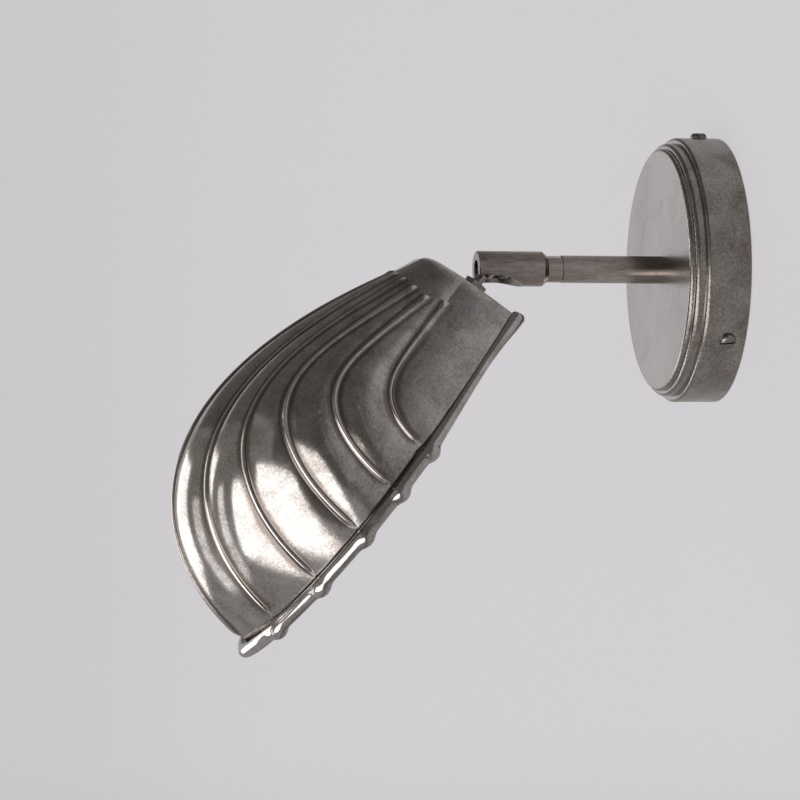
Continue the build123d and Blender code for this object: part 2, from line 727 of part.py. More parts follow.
# ================================================================ lampholder
cap_start = inner_stack + inner_nut_height
cap_end = cap_start + cap_height
base_start = cap_end - base_sheet
stem_axis = Axis(shade_point(0, 0, stem_height), down_shade)
stem_side = Plane(origin=shade_point(0, 0, stem_height), x_dir=(1, 0, 0),
                  z_dir=Vector(1, 0, 0).cross(down_shade))
with BuildPart() as holder_cap:
    with BuildSketch(stem_side):
        with BuildLine():
            Polyline((thread_radius + fit_gap, cap_start),
                     (0.55 * holder_radius, cap_start),
                     (holder_radius - cap_sheet / 2, cap_start + 0.4 * cap_height),
                     (holder_radius, cap_end),
                     (holder_radius - cap_sheet, cap_end),
                     (holder_radius - cap_sheet, base_start),
                     (holder_radius - 1.5 * cap_sheet, base_start),
                     (holder_radius - 2 * cap_sheet, cap_start + 0.45 * cap_height),
                     (0.5 * holder_radius, cap_start + 2 * cap_sheet),
                     (thread_radius + fit_gap, cap_start + 2 * cap_sheet), close=True)
        make_face()
    revolve(axis=stem_axis)
holder_cap.part.label = "holder_cap"

# Insulating base between the cap and the skirt, with the centre contact on it.
base_radius = holder_radius - cap_sheet - fit_gap
with BuildPart() as holder_base:
    with BuildSketch(stem_plane(base_start)):
        Circle(base_radius)
        with GridLocations(base_radius, 1, 2, 1):
            Circle(1.6, mode=Mode.SUBTRACT)
    extrude(amount=base_sheet)
holder_base.part.label = "holder_base"

with BuildPart() as holder_skirt:
    with BuildSketch(stem_plane(cap_end)):
        Circle(holder_radius)
        Circle(holder_radius - skirt_sheet, mode=Mode.SUBTRACT)
    extrude(amount=skirt_length)
holder_skirt.part.label = "holder_skirt"

with BuildPart() as screw_shell:
    with BuildSketch(stem_plane(cap_end)):
        Circle(screw_shell_radius)
        Circle(screw_shell_radius - screw_shell_sheet, mode=Mode.SUBTRACT)
    extrude(amount=screw_shell_length)
    with BuildSketch(stem_plane(cap_end + screw_shell_length - 1.0)):
        Circle(holder_radius - skirt_sheet - fit_gap)
        Circle(screw_shell_radius - screw_shell_sheet, mode=Mode.SUBTRACT)
    extrude(amount=1.0)
screw_shell.part.label = "screw_shell"

contact_rise = 2.4
with BuildPart() as centre_contact:
    with BuildSketch(stem_plane(cap_end)):
        Rectangle(contact_width, 1.6 * contact_width)
    extrude(amount=contact_sheet)
    with BuildSketch(stem_plane(cap_end)):
        Circle(0.3 * contact_width)
    extrude(amount=contact_rise)
centre_contact.part.label = "centre_contact"

# ================================================================ lamp
lamp_start = cap_end + contact_rise
with BuildPart() as lamp_cap:
    with BuildSketch(stem_plane(lamp_start + lamp_tip_height)):
        Circle(lamp_cap_radius)
        Circle(lamp_cap_radius - screw_shell_sheet, mode=Mode.SUBTRACT)
    extrude(amount=lamp_cap_length)
lamp_cap.part.label = "lamp_cap"

with BuildPart() as lamp_tip:
    with BuildSketch(stem_plane(lamp_start)):
        Circle(lamp_tip_radius)
    extrude(amount=lamp_tip_height)
    with BuildSketch(stem_plane(lamp_start + lamp_tip_height)):
        Circle(lamp_cap_radius - screw_shell_sheet - fit_gap)
    extrude(amount=1.5)
lamp_tip.part.label = "lamp_tip"

glass_start = lamp_start + lamp_tip_height + lamp_cap_length
glass_end = glass_start + glass_length
with BuildPart() as lamp_glass:
    with BuildSketch(stem_side):
        with BuildLine():
            neck = Line((lamp_cap_radius, glass_start), (lamp_cap_radius, glass_start + 2))
            swelling = Spline(neck @ 1, (glass_radius, glass_start + glass_shoulder),
                              tangents=((0, 1), (0, 1)))
            side = Line(swelling @ 1, (glass_radius, glass_end - glass_radius))
            RadiusArc(side @ 1, (0, glass_end), -glass_radius)
            Line((0, glass_end), (0, glass_start))
            Line((0, glass_start), neck @ 0)
        make_face()
    revolve(axis=stem_axis)
    offset(amount=-glass_wall, openings=lamp_glass.faces().sort_by(stem_axis)[0], kind=Kind.INTERSECTION)
lamp_glass.part.label = "lamp_glass"

pieces = (wall_plate, backplate_cover, cover_screws, earth_washer, earth_screw, terminal_block,
          terminal_screws, block_fixing_screw, arm_tube, arm_washer, arm_nut, wire_bush, arm_collar,
          swivel_screw, knuckle_barrel, barrel_bush, ball_seat, disc_springs, seat_plug,
          ball_stem, lock_nut, stem_washer, shade, inner_washer, inner_nut, holder_cap, holder_base,
          holder_skirt, screw_shell, centre_contact, lamp_cap, lamp_tip, lamp_glass)
for piece in pieces:
    export_step(piece.part, "parts/" + piece.part.label + ".step")
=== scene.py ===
import bpy
import math
import numpy as np
from mathutils import Matrix, Vector


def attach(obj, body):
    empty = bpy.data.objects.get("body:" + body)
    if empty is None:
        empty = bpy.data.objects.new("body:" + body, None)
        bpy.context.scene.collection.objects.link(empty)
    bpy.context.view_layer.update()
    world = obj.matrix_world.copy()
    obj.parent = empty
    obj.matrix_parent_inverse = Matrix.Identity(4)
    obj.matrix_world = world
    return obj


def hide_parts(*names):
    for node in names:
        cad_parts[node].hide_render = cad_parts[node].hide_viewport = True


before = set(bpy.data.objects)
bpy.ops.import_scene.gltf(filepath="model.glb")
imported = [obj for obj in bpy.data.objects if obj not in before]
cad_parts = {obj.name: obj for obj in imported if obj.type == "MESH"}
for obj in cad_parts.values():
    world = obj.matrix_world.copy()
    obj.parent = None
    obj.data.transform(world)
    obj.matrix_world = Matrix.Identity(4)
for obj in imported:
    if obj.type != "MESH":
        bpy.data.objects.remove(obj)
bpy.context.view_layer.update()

# ------------------------------------------------------------------ studio
# A pale painted wall that carries the lamp, a pale floor and three soft boxes in a dim room.
# The camera stands off to the lamp's side, a little in front of the wall.
scene = bpy.context.scene
scene.view_settings.view_transform = "Standard"

camera_place = (1.97384, -0.57758, -0.05929)
camera_yaw = math.radians(12.3225)
camera_roll = math.radians(0.089)
camera_data = bpy.data.cameras.new("camera")
camera_data.lens = 202.5
camera_data.sensor_width = 36.0
camera = bpy.data.objects.new("camera", camera_data)
scene.collection.objects.link(camera)
sight = Vector((-math.cos(camera_yaw), math.sin(camera_yaw), 0.0))
right = sight.cross(Vector((0.0, 0.0, 1.0)))
camera.matrix_world = (
    Matrix.Translation(camera_place)
    @ Matrix((right, right.cross(sight), -sight)).transposed().to_4x4()
    @ Matrix.Rotation(camera_roll, 4, "Z")
)
scene.camera = camera


def tree_node(tree, kind, inputs=None, **settings):
    """A node of that kind, with its settings made and its sockets linked or filled in."""
    made = tree.nodes.new("ShaderNode" + kind)
    for name, value in settings.items():
        setattr(made, name, value)
    for name, value in (inputs or {}).items():
        if isinstance(value, bpy.types.NodeSocket):
            tree.links.new(value, made.inputs[name])
        else:
            made.inputs[name].default_value = value
    return made


def reckon(tree, operation, *values, clamp=False):
    """What a sum or another operation makes of those numbers or sockets."""
    return tree_node(tree, "Math", dict(enumerate(values)), operation=operation, use_clamp=clamp).outputs[0]


def graded(tree, value, start, end, first, last, **settings):
    """A value that goes from first to last while the given one goes from start to end."""
    return tree_node(tree, "MapRange", {0: value, 1: start, 2: end, 3: first, 4: last}, **settings).outputs[0]


def seen_directly(tree, share=1.0):
    """That share for what the camera sees straight, in metal or through glass, and 0 for the rest."""
    rays = tree_node(tree, "LightPath").outputs
    counted = reckon(tree, "ADD", rays["Is Camera Ray"], rays["Is Glossy Ray"])
    counted = reckon(tree, "ADD", counted, rays["Is Transmission Ray"])
    return reckon(tree, "MULTIPLY", counted, share, clamp=True)


def bare_material(name):
    """A new material, with its node tree and its shader."""
    material = bpy.data.materials.new(name)
    material.use_nodes = True
    return material, material.node_tree, material.node_tree.nodes["Principled BSDF"]


# A pool of light on the wall fades off the arm's level and towards the near side: metres where the
# fading starts and ends, and the glow that it goes from and to. It ends sooner on the near side.
pool_off_level = (0.19, 0.5, 1.0, 0.5)
pool_near_side = (0.14, 0.6, 1.0, 0.75)
pool_slant = 0.092


def painted(name, colour, seen, seen_colour, one_sided=False, pool=False):
    """Matt paint with a faint roller stipple. seen is the share of its own glow that the camera,
    metal and glass get, whole or in a pool, and a one-sided sheet isn't there from behind."""
    material, tree, shader = bare_material(name)
    shader.inputs["Base Color"].default_value = (*colour, 1)
    shader.inputs["Roughness"].default_value = 0.9
    place = tree_node(tree, "TexCoord").outputs["Object"]
    stipple = tree_node(tree, "TexNoise", {"Vector": place, "Scale": 220.0, "Detail": 3.0})
    bump = tree_node(tree, "Bump", {"Height": stipple.outputs["Fac"], "Strength": 0.04, "Distance": 0.001})
    tree.links.new(bump.outputs["Normal"], shader.inputs["Normal"])
    glow = tree_node(tree, "Emission", {"Color": (*seen_colour, 1), "Strength": 1.0})
    if pool:
        spot = tree_node(tree, "SeparateXYZ", {0: place}).outputs
        off_level = reckon(tree, "MULTIPLY_ADD", spot[0], pool_slant, reckon(tree, "ABSOLUTE", spot[2]))
        high = graded(tree, off_level, *pool_off_level, interpolation_type="SMOOTHSTEP")
        near = graded(tree, spot[0], *pool_near_side, interpolation_type="SMOOTHSTEP")
        tree.links.new(reckon(tree, "MULTIPLY", high, near), glow.inputs["Strength"])
    surface = tree_node(tree, "MixShader", {0: seen_directly(tree, seen), 1: shader.outputs[0],
                                            2: glow.outputs[0]})
    if one_sided:
        behind = tree_node(tree, "NewGeometry").outputs["Backfacing"]
        gone = tree_node(tree, "BsdfTransparent").outputs[0]
        surface = tree_node(tree, "MixShader", {0: behind, 1: surface.outputs[0], 2: gone})
    tree.links.new(surface.outputs[0], tree.nodes["Material Output"].inputs["Surface"])
    return material


def stage_sheet(name, corners, material, shown=True):
    """A flat sheet of the studio. One that isn't shown is there only for the light and the metal."""
    mesh = bpy.data.meshes.new(name)
    mesh.from_pydata(corners, [], [tuple(range(len(corners)))])
    mesh.materials.append(material)
    sheet = bpy.data.objects.new(name, mesh)
    sheet.visible_camera = shown
    scene.collection.objects.link(sheet)


paint = (0.66, 0.66, 0.675)
wall_paint = painted("wall_paint", paint, 0.88, (0.66, 0.645, 0.66), one_sided=True, pool=True)
floor_paint = painted("floor_paint", paint, 0.88, (0.56, 0.548, 0.56), one_sided=True)
dark_cloth = painted("dark_cloth", (0.10, 0.098, 0.095), 0.9, (0.21, 0.2, 0.19))
dim_cloth = painted("dim_cloth", (0.2, 0.198, 0.195), 0.9, (0.42, 0.405, 0.39))
far_side, near_side = -6.0, 4.0
front, back = -4.0, 2.0
ground, ceiling = -1.3, 2.4
wall_face = 0.0008
wall_end = 2.6
ceiling_back = 0.1
stage_sheet("wall", [(wall_end, wall_face, ground), (wall_end, wall_face, ceiling),
                     (far_side, wall_face, ceiling), (far_side, wall_face, ground)], wall_paint)
stage_sheet("floor", [(far_side, front, ground), (near_side, front, ground),
                      (near_side, back, ground), (far_side, back, ground)], floor_paint)
stage_sheet("dark_ceiling", [(far_side, front, ceiling), (near_side, front, ceiling),
                             (near_side, ceiling_back, ceiling), (far_side, ceiling_back, ceiling)],
            dark_cloth, shown=False)
stage_sheet("dark_front", [(far_side, front, ground), (near_side, front, ground),
                           (near_side, front, ceiling), (far_side, front, ceiling)],
            dim_cloth, shown=False)
stage_sheet("dark_near", [(near_side, front, ground), (near_side, 0.0, ground),
                          (near_side, 0.0, ceiling), (near_side, front, ceiling)],
            dark_cloth, shown=False)

boxes_face = Vector((0, -0.15, -0.06))      # the place near the shade's middle that they are turned to


def soft_box(name, azimuth, height, distance, width, tall, radiance, colour=(1, 1, 1)):
    """A soft box that faces the shade. Azimuth 0 is in front of the wall, 90 on the near side."""
    turn, rise = math.radians(azimuth), math.radians(height)
    away = Vector((math.sin(turn) * math.cos(rise), -math.cos(turn) * math.cos(rise), math.sin(rise)))
    data = bpy.data.lights.new(name, "AREA")
    data.shape = "RECTANGLE"
    data.size = width
    data.size_y = tall
    data.energy = radiance * math.pi * width * tall
    data.color = colour
    box = bpy.data.objects.new(name, data)
    box.location = boxes_face + away * distance
    box.rotation_euler = away.to_track_quat("Z", "Y").to_euler()
    box.visible_camera = False
    scene.collection.objects.link(box)


warm_white = (1.0, 0.99, 0.98)
soft_box("key_box", 46, -23.5, distance=1.3, width=1.52, tall=1.04, radiance=2.9, colour=warm_white)
soft_box("far_box", -43, -10, distance=1.6, width=0.84, tall=1.3, radiance=2.9, colour=warm_white)
soft_box("strip_box", -8, -26, distance=1.6, width=0.36, tall=1.4, radiance=1.5)

world = bpy.data.worlds.new("studio")
scene.world = world
world.use_nodes = True
air = world.node_tree
air_colour = tree_node(air, "Mix", {0: seen_directly(air), 6: (0.35, 0.35, 0.36, 1),
                                    7: (0.66, 0.66, 0.68, 1)}, data_type="RGBA")
air.links.new(air_colour.outputs[2], air.nodes["Background"].inputs["Color"])
air.nodes["Background"].inputs["Strength"].default_value = 1.0


# ------------------------------------------------------------------ wall plate and its fittings
# The wall plate is pressed from zinc plated steel and is screwed to the wall over the supply cable.
# It carries the earth screw and washer, and a moulded block whose brass screws clamp the wires.
def effect(name, inputs, outputs):
    """An empty group with those sockets, what it is given and what it puts out."""
    group = bpy.data.node_groups.new(name, "ShaderNodeTree")
    for socket, (kind, value) in inputs.items():
        made = group.interface.new_socket(socket, in_out="INPUT", socket_type="NodeSocket" + kind)
        made.default_value = value
    for socket, kind in outputs.items():
        group.interface.new_socket(socket, in_out="OUTPUT", socket_type="NodeSocket" + kind)
    return group, group.nodes.new("NodeGroupInput").outputs, group.nodes.new("NodeGroupOutput").inputs


skin_outputs = {"Color": "Color", "Roughness": "Float", "Height": "Float"}


def worn_skin():
    """Group: a mottled film over metal, thinner where it is rubbed and where a highlight is painted, and
    thicker where grime lies and where shade is painted.
    """
    group, given, result = effect("worn_skin", {
        "Bright": ("Color", (0.5, 0.48, 0.46, 1)), "Dull": ("Color", (0.2, 0.17, 0.15, 1)),
        "Stretch": ("Vector", (1, 1, 1)), "Cloud Scale": ("Float", 70.0), "Cloud Share": ("Float", 0.6),
        "Speck Scale": ("Float", 900.0), "Speck Share": ("Float", 0.4), "Rubbed_And_Sheen": ("Float", 0.0),
        "Grime_And_Shade": ("Float", 0.0), "Gloss": ("Float", 0.2),
    }, skin_outputs)
    place = tree_node(group, "TexCoord").outputs["Object"]
    place = tree_node(group, "VectorMath", {0: place, 1: given["Stretch"]}, operation="MULTIPLY").outputs[0]
    clouds = tree_node(group, "TexNoise", {"Vector": place, "Scale": given["Cloud Scale"], "Detail": 5.0,
                                           "Roughness": 0.62, "Distortion": 0.6}).outputs["Fac"]
    specks = tree_node(group, "TexNoise", {"Vector": place, "Scale": given["Speck Scale"], "Detail": 3.0,
                                           "Roughness": 0.7}).outputs["Fac"]
    cloud = graded(group, clouds, 0.34, 0.66, 0.0, 1.0)
    speck = graded(group, specks, 0.36, 0.68, 0.0, 1.0)
    film = reckon(group, "MULTIPLY", cloud, given["Cloud Share"])
    film = reckon(group, "MULTIPLY_ADD", speck, given["Speck Share"], film)
    film = reckon(group, "ADD", film, given["Grime_And_Shade"])
    film = reckon(group, "SUBTRACT", film, given["Rubbed_And_Sheen"], clamp=True)
    colour = tree_node(group, "Mix", {0: film, 6: given["Bright"], 7: given["Dull"]}, data_type="RGBA")
    rough = reckon(group, "MULTIPLY_ADD", film, 0.12, given["Gloss"])
    height = reckon(group, "MULTIPLY_ADD", specks, 0.1, reckon(group, "MULTIPLY", clouds, 0.7))
    group.links.new(colour.outputs[2], result["Color"])
    group.links.new(rough, result["Roughness"])
    group.links.new(height, result["Height"])
    return group


def rubbed_and_sheen_corners():
    """Group: how far the corners of a piece are rubbed, over the width of an edge, which also paints a
    highlight along them.
    """
    group, given, result = effect("rubbed_and_sheen_corners", {"Edge": ("Float", 0.0005)}, {"Rubbed_And_Sheen": "Float"})
    softened = tree_node(group, "Bevel", {"Radius": given["Edge"]}, samples=4).outputs[0]
    flat = tree_node(group, "NewGeometry").outputs["Normal"]
    turn = tree_node(group, "VectorMath", {0: softened, 1: flat}, operation="DOT_PRODUCT")
    group.links.new(graded(group, turn.outputs["Value"], 0.995, 0.90, 0.0, 0.85), result["Rubbed_And_Sheen"])
    return group


def moulded_skin():
    """Group: faint flow marks and a fine grain on moulded or fired stuff."""
    group, given, result = effect("moulded_skin", {
        "Light": ("Color", (0.85, 0.84, 0.80, 1)), "Dark": ("Color", (0.76, 0.74, 0.68, 1)),
        "Grain Scale": ("Float", 600.0), "Smoothest": ("Float", 0.4), "Roughest": ("Float", 0.53),
    }, skin_outputs)
    place = tree_node(group, "TexCoord").outputs["Object"]
    flow = tree_node(group, "TexNoise", {"Vector": place, "Scale": 90.0, "Detail": 4.0, "Distortion": 1.2})
    fine = tree_node(group, "TexNoise", {"Vector": place, "Scale": given["Grain Scale"],
                                         "Detail": 2.0}).outputs["Fac"]
    colour = tree_node(group, "Mix", {0: flow.outputs["Fac"], 6: given["Light"], 7: given["Dark"]},
                       data_type="RGBA")
    rough = graded(group, fine, 0.0, 1.0, given["Smoothest"], given["Roughest"])
    group.links.new(colour.outputs[2], result["Color"])
    group.links.new(rough, result["Roughness"])
    group.links.new(fine, result["Height"])
    return group


metal_film = worn_skin()
corner_rub_and_sheen = rubbed_and_sheen_corners()
moulded_grain = moulded_skin()


def lay_on(tree, shader, colour, rough, height, relief, depth):
    """Feeds a shader its colour and roughness, and a bump of that relief made from a height."""
    bump = tree_node(tree, "Bump", {"Height": height, "Strength": relief, "Distance": depth})
    tree.links.new(colour, shader.inputs["Base Color"])
    tree.links.new(rough, shader.inputs["Roughness"])
    tree.links.new(bump.outputs["Normal"], shader.inputs["Normal"])


def metal(name, bright, dull, gloss=0.2, cloud=(70.0, 0.6), speck=(900.0, 0.4), stretch=(1, 1, 1),
          relief=0.15, edge=0.0005, grime_and_shade=0.0, spun=0.0, face_lightening=0.0, masks=False):
    """Metal under its film, whose clouds and specks have a scale and a share each. Masks on the mesh
    say where it is rubbed with a painted highlight and where grime lies with painted shade, or else its
    own corners are rubbed over the width of an edge, with a painted highlight, and a face across the
    lathe's axis is painted lighter. The film can be thickened all over, with grime and painted shade."""
    material, tree, shader = bare_material(name)
    shader.inputs["Metallic"].default_value = 1.0
    film = tree_node(tree, "Group", {
        "Bright": (*bright, 1), "Dull": (*dull, 1), "Gloss": gloss, "Stretch": stretch, "Grime_And_Shade": grime_and_shade,
        "Cloud Scale": cloud[0], "Cloud Share": cloud[1], "Speck Scale": speck[0], "Speck Share": speck[1],
    }, node_tree=metal_film)
    if masks:
        for mask in ("rubbed_and_sheen", "grime_and_shade"):
            painted_mask = tree_node(tree, "Attribute", attribute_name=mask).outputs["Fac"]
            tree.links.new(painted_mask, film.inputs[mask.title()])
    else:
        rubbed_and_sheen = tree_node(tree, "Group", {"Edge": edge}, node_tree=corner_rub_and_sheen).outputs["Rubbed_And_Sheen"]
        # A face across the lathe's axis is painted lighter than the rest.
        if face_lightening:
            normal = tree_node(tree, "TexCoord").outputs["Normal"]
            facing = tree_node(tree, "SeparateXYZ", {0: normal}).outputs
            face = reckon(tree, "MULTIPLY", facing[1], -1.0)
            rubbed_and_sheen = reckon(tree, "MAXIMUM", rubbed_and_sheen, graded(tree, face, 0.9, 0.99, 0.0, face_lightening))
        tree.links.new(rubbed_and_sheen, film.inputs["Rubbed_And_Sheen"])
    if spun:
        shader.inputs["Anisotropic"].default_value = spun
        lathe_marks = tree_node(tree, "Tangent", direction_type="RADIAL", axis="Y")
        tree.links.new(lathe_marks.outputs[0], shader.inputs["Tangent"])
    shown = film.outputs
    lay_on(tree, shader, shown["Color"], shown["Roughness"], shown["Height"], relief, depth=0.0008)
    return material


def moulded(name, light, dark, roughness, grain=600.0, relief=0.1, coat=0.0):
    """Moulded or fired stuff with faint flow marks, a fine grain and a touch of dirt."""
    material, tree, shader = bare_material(name)
    shader.inputs["Coat Weight"].default_value = coat
    shown = tree_node(tree, "Group", {
        "Light": (*light, 1), "Dark": (*dark, 1), "Grain Scale": grain,
        "Smoothest": roughness - 0.05, "Roughest": roughness + 0.08,
    }, node_tree=moulded_grain).outputs
    lay_on(tree, shader, shown["Color"], shown["Roughness"], shown["Height"], relief, depth=0.0003)
    return material


def finish(material, *names):
    """Gives each named piece its finish."""
    for name in names:
        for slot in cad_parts[name].material_slots:
            slot.material = material


zinc_steel = metal("zinc_steel", (0.62, 0.64, 0.66), (0.40, 0.41, 0.42), gloss=0.3, cloud=(120.0, 0.7),
                   speck=(700.0, 0.3))
brass = metal("brass", (0.80, 0.62, 0.30), (0.48, 0.33, 0.14), cloud=(90.0, 0.5), speck=(800.0, 0.3),
              spun=0.3)
nylon = moulded("nylon", (0.85, 0.84, 0.80), (0.76, 0.74, 0.68), roughness=0.45)
finish(zinc_steel, "wall_plate", "earth_washer", "block_fixing_screw")
finish(brass, "earth_screw", "terminal_screws")
finish(nylon, "terminal_block")

# ------------------------------------------------------------------ backplate cover
# A round cover spun from sheet, with a flat face, a beaded step and a plain drum, browned and waxed.
# Three round-head slotted screws through the drum hold it to the wall plate's lugs.
# The film is thickened all over, partly the cover's brown wax and partly painted shade that darkens the drum.
# The flat face is painted lighter again.
spun_metal = metal("spun_metal", (0.46, 0.43, 0.405), (0.105, 0.086, 0.073), cloud=(60.0, 0.28),
                   speck=(850.0, 0.3), relief=0.08, grime_and_shade=0.42, spun=0.45, face_lightening=0.64)
dark_screw = metal("dark_screw", (0.30, 0.28, 0.26), (0.07, 0.062, 0.055), gloss=0.25, cloud=(200.0, 0.5),
                   speck=(1500.0, 0.5), edge=0.0003)
finish(spun_metal, "backplate_cover")
finish(dark_screw, "cover_screws")

# ------------------------------------------------------------------ arm
# A drawn tube that stands out of the cover, held inside by a toothed washer and nut on its tail.
# A turned collar with two spanner flats ends it, and a hollow brass screw carries the knuckle.
drawn_metal = metal("drawn_metal", (0.35, 0.31, 0.28), (0.11, 0.088, 0.074), gloss=0.15, cloud=(110.0, 0.55),
                    speck=(900.0, 0.35), stretch=(1, 0.22, 1), relief=0.08)
finish(drawn_metal, "arm_tube", "arm_collar")
finish(zinc_steel, "arm_washer", "arm_nut")
finish(nylon, "wire_bush")
finish(brass, "swivel_screw")

# ------------------------------------------------------------------ knuckle
# A turned barrel that swivels on the arm's screw. Its slot lets the ball stem tilt, and inside it
# a brass bush, a seat of greased plastic, two disc springs and a plug grip the ball.
seat_plastic = moulded("seat_plastic", (0.16, 0.15, 0.14), (0.08, 0.072, 0.065), roughness=0.4)
spring_steel = metal("spring_steel", (0.5, 0.51, 0.53), (0.3, 0.3, 0.32), gloss=0.22, cloud=(150.0, 0.5),
                     speck=(900.0, 0.3), spun=0.4)
finish(drawn_metal, "knuckle_barrel")
finish(brass, "barrel_bush", "seat_plug")
finish(seat_plastic, "ball_seat")
finish(spring_steel, "disc_springs")

# ------------------------------------------------------------------ ball stem and its nuts
# A drilled ball with a neck and a threaded shank, turned in one piece. A nut and a blackened washer
# outside the shade, and a plated pair inside it, clamp the shade's top plate.
stem_metal = metal("stem_metal", (0.32, 0.29, 0.27), (0.10, 0.085, 0.075), cloud=(150.0, 0.5),
                   speck=(1000.0, 0.4), edge=0.0003)
finish(stem_metal, "ball_stem", "lock_nut")
finish(dark_screw, "stem_washer")
finish(zinc_steel, "inner_washer", "inner_nut")

# ------------------------------------------------------------------ shade
# The shell shade is pressed from thin sheet, with eleven ribs that fan out from a flat top plate, and
# bowed panels between them. A raised ridge with a round nose runs along each rib. Handling has rubbed
# the ridges bright and a highlight is painted on them as well, and grime and painted shade lie along
# their feet. The ball stem's nuts clamp the top plate.
lean = math.radians(38.2)           # of the shade off the vertical
ball_centre = Vector((0, -0.106, 0))
down_shade = Vector((0, -math.sin(lean), -math.cos(lean)))
off_rim = Vector((0, -math.cos(lean), math.sin(lean)))
plate_drop = 0.0135                 # from the ball's centre down to the top plate
rim_behind = 0.016                  # from the ball's centre back to the rim plane
shade_start = ball_centre + down_shade * plate_drop - off_rim * rim_behind

sheet = 0.0012
top_half = 0.030                    # the half round that the ribs start from, and how far down it is
shoulder_axis = 0.023
shoulder_rise = 0.028
shoulder = 0.016
wide_half = 0.060                   # the rim's outline, at its widest and at its tip
wide_at = 0.100
tip_at = 0.187
tip_taper = 1.3
rim_drop = 0.002                    # from the rim plane down to the sheet's edge
outer_rib = 5                       # ribs are numbered outwards from 0, the middle one
rib_spread = math.radians(16.5)
# How far down each rib lands on the rim, what it climbs on the way, and how late it turns down.
rib_landings = (0.187, 0.1725, 0.1487, 0.122, 0.098, 0.0755)
rib_rises = (0.092, 0.068, 0.052, 0.040, 0.024, 0.005)
rib_drops = (1.6, 2.1, 3.0, 4.2, 5.2, 6.0)
rib_halvings = 34                   # tries at finding where a rib crosses a fan plane
fan_hinge = 0.060                   # the fan planes' hinge moves this far while they tilt
fan_ease = 1.6
edge_round = 0.0038                 # the top plate's rounded edge, and each rib's share of it
edge_shares = (1.0, 1.0, 1.0, 1.0, 0.75, 0.5)
corner_share = 0.2
# A panel's bulge as a share of its width, for fan shares from the top plate to the rim plane.
panel_bow = ((0.0, 0.036), (0.06, 0.036), (0.2, 0.07), (0.5, 0.11), (0.85, 0.10), (1.0, 0.05))
side_bow = 0.036                    # the same for the two side panels

ridge_starts = (0.014, 0.0156, 0.016, 0.017, 0.0176, 0.0145)    # how far down each ridge begins
ridge_nose = 0.0022                 # length of its round nose
ridge_rise = 0.0013                 # the panels meet this far inside the rib's line
ridge_sink = (0.15, 0.1875)         # share of it at the top plate, and the fan share that adds a whole
ridge_low = 0.0009                  # rise behind the nose, and what it gains over a run
ridge_gain, ridge_gain_run = 0.00045, 0.045
ridge_end, ridge_end_run = 0.0015, 0.006    # where it sinks away before the rim
brow, brow_at, brow_run = 0.0004, 0.0017, 0.0016    # a slight swelling of the nose
ridge_half = 0.0024                 # half width, what it loses over a run, and near the rim
ridge_loss, ridge_loss_run = 0.0008, 0.05
rim_loss, rim_loss_run = 0.0005, 0.012
nose_half = 0.6                     # share of the half width that the nose starts with
# A ridge's polish is partly a painted highlight, at its nose and along its crest.
polish_and_sheen_at, polish_and_sheen_run = 0.0012, 0.0016      # the nose is rubbed brightest here, with a painted highlight
crest_polish_and_sheen = 0.75
grime_and_shade_width = 0.0009                # of the grime and painted shade that lie along a ridge's foot
# How much darker the inner skin and the top plate are made.
inside_darkening = 0.3


def ease(value):
    """0 to 1, with a soft start and end."""
    value = min(1.0, max(0.0, value))
    return value * value * (3 - 2 * value)


def rim_half(along, inset=0.0):
    """Half the rim's width this far down the shade."""
    if along <= wide_at:
        return top_half + (wide_half - top_half) * math.sin(math.pi / 2 * max(along, 0) / wide_at) - inset
    share = min(1.0, (along - wide_at) / (tip_at - inset - wide_at))
    return (wide_half - inset) * (1 - share ** 2) ** (tip_taper / 2)


def rib_point(rib, hinge, tilt, inset):
    """Where a rib crosses a fan plane, as across and reach in the plane."""
    number = abs(rib)
    start_across = (top_half - inset) * math.sin(rib_spread * number)
    start_height = shoulder_axis + (shoulder_rise - inset) * math.cos(rib_spread * number)
    landing = rib_landings[number]
    landing_half = rim_half(landing)
    span = math.hypot(landing - wide_at, landing_half)
    landing -= inset * (landing - wide_at) / span
    landing_half -= inset * landing_half / span
    low, high = hinge, landing
    for _ in range(rib_halvings):
        middle = (low + high) / 2
        share = (middle - shoulder) / (landing - shoulder)
        drop = math.sqrt(max(0.0, 1 - max(0.0, share) ** rib_drops[number]))
        height = (start_height + rib_rises[number] * share) * drop
        if (middle - hinge) * math.cos(tilt) < (height + rim_drop) * math.sin(tilt):
            low = middle
        else:
            high = middle
    share = (low - shoulder) / (landing - shoulder)
    across = start_across + (landing_half - start_across) * share
    reach = (low - hinge) * math.sin(tilt) + (height + rim_drop) * math.cos(tilt)
    return Vector((across if rib >= 0 else -across, reach))


def ridge_section(number, along, height):
    """A ridge's rise, half width and polish with its painted highlight, where its rib is this far down and
    off the rim plane.
    """
    begun = max(0.0, along - ridge_starts[number])
    left = math.hypot(rib_landings[number] - along, max(0.0, height))
    nose = math.sqrt(1 - (1 - min(1.0, begun / ridge_nose)) ** 2)
    rise = (ridge_low + ridge_gain * ease(begun / ridge_gain_run)) * nose
    rise *= ease((left - ridge_end) / ridge_end_run)
    rise += brow * nose * math.exp(-((begun - brow_at) / brow_run) ** 2)
    half = ridge_half - ridge_loss * ease(begun / ridge_loss_run)
    half = half * (nose_half + (1 - nose_half) * nose) - rim_loss * ease(1 - left / rim_loss_run)
    polish_and_sheen = math.exp(-((begun - polish_and_sheen_at) / polish_and_sheen_run) ** 2) + crest_polish_and_sheen * ease(begun / ridge_loss_run)
    return rise, half, polish_and_sheen


ridge_steps = (0.0004, 0.0008, 0.0012, 0.0016, 0.0021)      # points beside a ridge's crest
ridge_steps_most = 0.3              # share of a panel's width that those steps may take
panel_steps = 10


